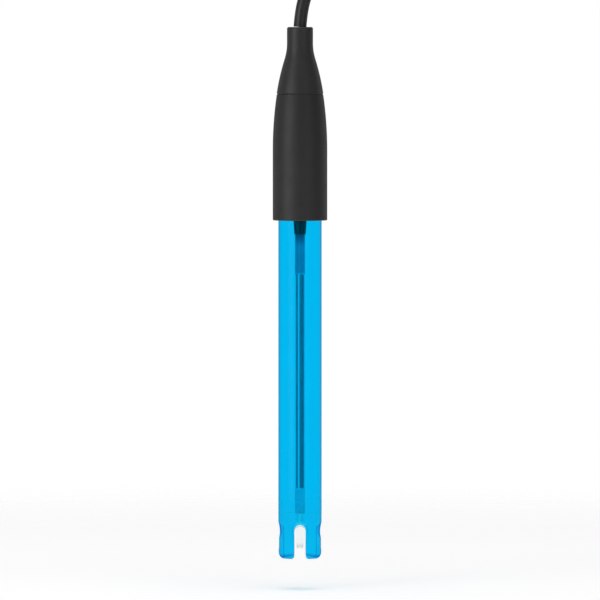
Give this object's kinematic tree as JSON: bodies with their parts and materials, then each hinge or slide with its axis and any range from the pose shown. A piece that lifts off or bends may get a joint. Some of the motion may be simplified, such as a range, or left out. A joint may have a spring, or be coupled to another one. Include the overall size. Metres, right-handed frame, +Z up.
{
  "type": "ph electrode",
  "caption": "Slim pH electrode: clear blue guarded shaft, tapered black cap and boot, hung from its coiled cable with a bayonet plug.",
  "frame": {"origin": "the point under the top of the cable coil where a hook holds the probe, on the probe's axis", "axes": "+Z up along the probe's axis, from the tip to the cable; +X to the side that the cable leaves the boot, -Y the front"},
  "size_m": [0.0589, 0.0167, 0.2488],
  "materials": {
    "boot_rubber": "satin moulded elastomer",
    "cap_plastic": "fine matt moulded plastic",
    "seal_rubber": "smooth black rubber",
    "clear_blue_shaft": "polished clear blue plastic",
    "inner_tube_plastic": "clear, smooth",
    "membrane_glass": "clear thin glass",
    "buffer_liquid": "clear liquid",
    "silver_chloride": "violet-grey coated silver, satin",
    "silver_wire": "drawn silver",
    "clear_gel": "clear gel",
    "clear_seal": "clear resin",
    "porous_ceramic": "white porous ceramic",
    "potting_resin": "dark cast resin",
    "clamp_brass": "turned brass",
    "cable_jacket": "smooth satin cable jacket",
    "tie_fabric": "woven hook and loop strap",
    "braid_copper": "tinned copper braid",
    "plug_nickel": "nickel plate, softly polished",
    "white_insulator": "white fluoropolymer",
    "pin_gold": "gold plate",
    "gasket_rubber": "red-brown silicone rubber",
    "spring_steel": "rolled spring steel"
  },
  "bodies": {
    "root": {"strain_relief_boot": "boot_rubber", "cap_body": "cap_plastic", "cap_seal_ring": "seal_rubber", "shaft_body": "clear_blue_shaft", "stem_stopper": "seal_rubber", "inner_tube": "inner_tube_plastic", "glass_bulb": "membrane_glass", "inner_buffer": "buffer_liquid", "inner_element": "silver_chloride", "signal_wire": "silver_wire", "reference_wire": "silver_wire", "reference_gel": "clear_gel", "lower_seal": "clear_seal", "reference_junction": "porous_ceramic", "potting_plug": "potting_resin", "core_joint": "potting_resin", "cable_clamp": "clamp_brass", "cable_in_cap": "cable_jacket", "cable_lead": "cable_jacket", "cable_coil": "cable_jacket", "cable_tail": "cable_jacket", "cable_tie": "tie_fabric", "cable_in_plug": "cable_jacket", "plug_boot": "boot_rubber", "shield_braid": "braid_copper", "crimp_ferrule": "plug_nickel", "plug_body": "plug_nickel", "plug_insulator": "white_insulator", "centre_pin": "pin_gold", "plug_gasket": "gasket_rubber", "retaining_ring": "spring_steel", "wave_spring": "spring_steel"},
    "spring_stack": {"thrust_washer": "plug_nickel"},
    "nut": {"coupling_nut": "plug_nickel"}
  },
  "joints": [
    {"name": "nut_draw", "type": "slide", "parent": "root", "child": "spring_stack", "axis": [0, 0, -1], "range_m": [0, 0.0008], "stiffness_N_per_m": 2500, "springref_m": -0.002, "deforming": ["wave_spring"]},
    {"name": "nut_turn", "type": "hinge", "parent": "spring_stack", "child": "nut", "pos_m": [-0.0247, -0.002, -0.0722], "axis": [0, 0, -1], "continuous": true}
  ]
}
